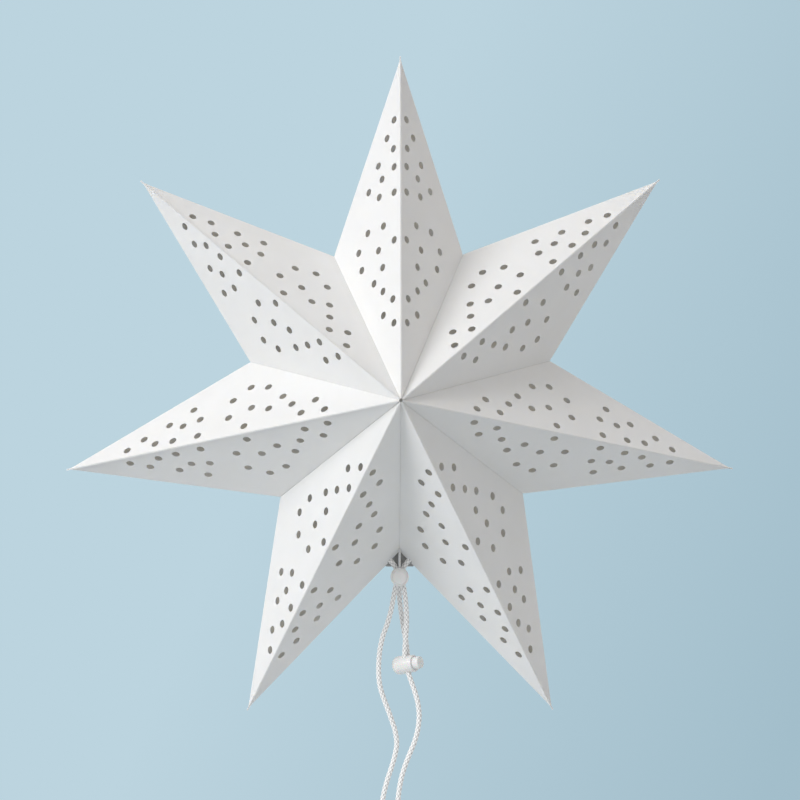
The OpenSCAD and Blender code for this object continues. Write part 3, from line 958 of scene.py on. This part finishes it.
# Flat plate from its corners in order and a thickness vector, as triangles: a fan on each side and walls
def plate(corners, thick):
    corners = np.array(corners, float)
    count = len(corners)
    verts = np.vstack([corners, corners + thick])
    j = np.arange(count)
    k = (j + 1) % count
    fan = np.column_stack([np.zeros(count - 2, int), np.arange(1, count - 1), np.arange(2, count)])
    walls = np.vstack([np.column_stack([j, k, j + count]), np.column_stack([k, k + count, j + count])])
    return verts, np.vstack([fan[:, ::-1], fan + count, walls])


# Closing flap behind the notch and lug in front of it, as plates of card; the flap's dark grey finish is
# painted shade
def makeSeamExtras(index):
    side = 1 if index == 7 else -1
    corner, w, n = seam["flapCorner"], seam["flapWidth"], -star["notchRadius"]
    y, foot = seam["flapBehind"], n - seam["flapDrop"]
    lugFront, lugBack, lugFoot = -seam["lugWidth"], seam["lugBehind"], n - seam["lugDrop"]
    frontTop, backTop, innerTop = (n + rise for rise in seam["lugTops"])
    top = n + y * valleyRise
    flap = [
        (0, y, foot), (w - corner, y, foot), (w, y, foot + corner), (w, y, top - w * creaseSlope),
        (0, y, top),
    ]
    lug = [
        (0, lugFront, frontTop), (0, lugFront, lugFoot), (0, lugBack, lugFoot), (0, lugBack, backTop),
        (0, 0, innerTop),
    ]
    for label, corners, thick, finish in (
        ("seamFlap", flap, (0, thickness, 0), paintedShadeFlapFinish),
        ("seamLug", lug, (seam["lugThickness"], 0, 0), cardFinish),
    ):
        verts, faces = plate(corners, thick)
        piece = addPiece(
            "%s%d" % (label, index - 6), verts * [side, 1, 1] + [0, 0, centreHeight], faces, finish,
            slot="card", sharpAngle=30)
        faceOutwards(piece)
        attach(piece, "star")


# One card half: the front and the rear sheet raised from the flat, joined at the crease, put in place, and
# given the card's thickness inwards
def makeHalf(index, sheets, rng):
    name = "point_%d_%s_half" % (index // 2 + 1, "left" if index % 2 == 0 else "right")
    verts, faces, count = [], [], 0
    for sheet, mirror in zip(sheets, (False, True)):
        flat, triangles, onMiddle = sheet
        places = raiseSheet(flat, onMiddle, rng.random(4))
        a, b, c = (places[triangles[:, k]] for k in range(3))
        if np.sum(np.cross(b - a, c - a) @ outward) < 0:
            triangles = triangles[:, ::-1]
        if mirror:
            places, triangles = places * [1, -1, 1], triangles[:, ::-1]
        verts.append(places)
        faces.append(triangles + count)
        count += len(places)
    placed, faces = placeHalf(np.vstack(verts), index), np.vstack(faces)
    if index % 2 == 0:
        faces = faces[:, ::-1]
    piece = addPiece("cardHalf%02d" % (index + 1), placed, faces, cardFinish, slot="card")
    wall = piece.modifiers.new("wall", "SOLIDIFY")
    wall.thickness = thickness
    wall.offset = -1
    applyModifiers(piece)
    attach(piece, "star")
    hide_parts(name)


def makeStar():
    rng = np.random.default_rng(card["seed"])
    front, back = triangulate(True), triangulate(False)
    seamFront = triangulate(True, [creaseCutter()])
    seamBack = triangulate(False, [
        creaseCutter(), valleyCutter(seam["rearHole"], seam["cordHole"]),
        valleyCutter(seam["lampHole"], seam["lampDiameter"]),
    ])
    for index in range(2 * star["points"]):
        atSeam = index in (7, 8)
        makeHalf(index, (seamFront, seamBack) if atSeam else (front, back), rng)
        if atSeam:
            makeSeamExtras(index)


makeStar()
print("card halves made")


# Floor, light and backdrop colour

studio = {
    "floorDrop": 0.64,
    "floorColour": (0.7, 0.75, 0.78),
    "floorSolid": 0.5,  # radius to which the floor is solid, and the width over which it then fades
    "floorFade": 0.4,
    "backdropLight": (0.503, 0.658, 0.738),
    "backdropDeep": (0.366, 0.515, 0.597),
    "backdropSlope": (6.5, 0, -2.9),  # the way in which the backdrop deepens
    "backdropRange": (-0.03, 0.97),
    "fillAbove": (0.70, 0.675, 0.65),
    "fillBelow": (0.385, 0.40, 0.41),
    "fillSlope": (0.4, 0, 0.92),
    "fillRange": (-0.8, 0.8),
    "keyPower": 32,
    "keySize": 1.2,
    "keyDistance": 2.2,
    "keyDirection": (-0.715, -0.563, 0.413),
    "keyColour": (1.0, 0.99, 0.975),
}


# A flat disc: rings of equal steps in radius
def makeFloor():
    rings, sides = 25, 64
    radius = np.linspace(0, studio["floorSolid"] + studio["floorFade"], rings)[:, None]
    angle = np.arange(sides) * 2 * math.pi / sides
    height = -studio["floorDrop"] + 0 * radius * angle
    verts = np.stack([radius * np.cos(angle), radius * np.sin(angle), height], -1)
    floor = addPiece("floor", verts.reshape(-1, 3), gridFaces(rings, sides), makeFloorFinish())


# The floor is solid in the middle and clears towards its rim, where the backdrop takes over
def makeFloorFinish():
    material, shader = newMaterial("paleFloor", studio["floorColour"], 0.8)
    tree = material.node_tree
    place = addNode(material, "ShaderNodeTexCoord")
    split = addNode(material, "ShaderNodeSeparateXYZ")
    flatten = addNode(material, "ShaderNodeCombineXYZ")
    length = addNode(material, "ShaderNodeVectorMath", operation="LENGTH")
    fade = addNode(material, "ShaderNodeMapRange", interpolation_type="SMOOTHSTEP")
    fade.inputs["From Min"].default_value = studio["floorSolid"]
    fade.inputs["From Max"].default_value = studio["floorSolid"] + studio["floorFade"] * 0.97
    clear = addNode(material, "ShaderNodeBsdfTransparent")
    mix = addNode(material, "ShaderNodeMixShader")
    tree.links.new(place.outputs["Object"], split.inputs["Vector"])
    tree.links.new(split.outputs["X"], flatten.inputs["X"])
    tree.links.new(split.outputs["Y"], flatten.inputs["Y"])
    tree.links.new(flatten.outputs["Vector"], length.inputs[0])
    tree.links.new(length.outputs["Value"], fade.inputs["Value"])
    tree.links.new(fade.outputs["Result"], mix.inputs["Fac"])
    tree.links.new(shader.outputs["BSDF"], mix.inputs[1])
    tree.links.new(clear.outputs["BSDF"], mix.inputs[2])
    tree.links.new(mix.outputs["Shader"], tree.nodes["Material Output"].inputs["Surface"])
    return material


# Colour that runs from one to the other where the direction's part along a slope runs from low to high
def colourAlong(tree, place, slope, low, high, first, second):
    part = tree.nodes.new("ShaderNodeVectorMath")
    part.operation = "DOT_PRODUCT"
    part.inputs[1].default_value = slope
    spread = tree.nodes.new("ShaderNodeMapRange")
    spread.inputs["From Min"].default_value = low
    spread.inputs["From Max"].default_value = high
    ramp = tree.nodes.new("ShaderNodeValToRGB")
    ramp.color_ramp.elements[0].color = (*first, 1)
    ramp.color_ramp.elements[1].color = (*second, 1)
    tree.links.new(place.outputs["Generated"], part.inputs[0])
    tree.links.new(part.outputs["Value"], spread.inputs["Value"])
    tree.links.new(spread.outputs["Result"], ramp.inputs["Fac"])
    return ramp.outputs["Color"]


# Pale backdrop for the camera, deeper to the right and below, and a soft fill light for the object
def makeWorld():
    world = bpy.data.worlds.new("studio")
    bpy.context.scene.world = world
    world.use_nodes = True
    tree = world.node_tree
    tree.nodes.clear()
    place = tree.nodes.new("ShaderNodeTexCoord")
    backdrop = colourAlong(
        tree, place, studio["backdropSlope"], *studio["backdropRange"],
        studio["backdropLight"], studio["backdropDeep"])
    fill = colourAlong(
        tree, place, studio["fillSlope"], *studio["fillRange"], studio["fillBelow"], studio["fillAbove"])
    seen = tree.nodes.new("ShaderNodeLightPath")
    shown = tree.nodes.new("ShaderNodeMixRGB")
    sky = tree.nodes.new("ShaderNodeBackground")
    out = tree.nodes.new("ShaderNodeOutputWorld")
    tree.links.new(seen.outputs["Is Camera Ray"], shown.inputs["Fac"])
    tree.links.new(fill, shown.inputs["Color1"])
    tree.links.new(backdrop, shown.inputs["Color2"])
    tree.links.new(shown.outputs["Color"], sky.inputs["Color"])
    tree.links.new(sky.outputs["Background"], out.inputs["Surface"])


def makeKeyLight():
    data = bpy.data.lights.new("key", "AREA")
    data.shape = "DISK"
    data.size = studio["keySize"]
    data.energy = studio["keyPower"]
    data.color = studio["keyColour"]
    light = bpy.data.objects.new("key", data)
    toward = Vector(studio["keyDirection"]).normalized()
    light.location = Vector((0, 0, centreHeight)) + toward * studio["keyDistance"]
    light.rotation_mode = "QUATERNION"
    light.rotation_quaternion = toward.to_track_quat("Z", "Y")
    light.visible_camera = False
    bpy.context.scene.collection.objects.link(light)


makeFloor()
makeWorld()
makeKeyLight()
bpy.context.scene.view_settings.view_transform = "Standard"
bpy.context.scene.cycles.max_bounces = 14
bpy.context.scene.cycles.diffuse_bounces = 10
bpy.context.scene.cycles.use_denoising = True
print("studio made")
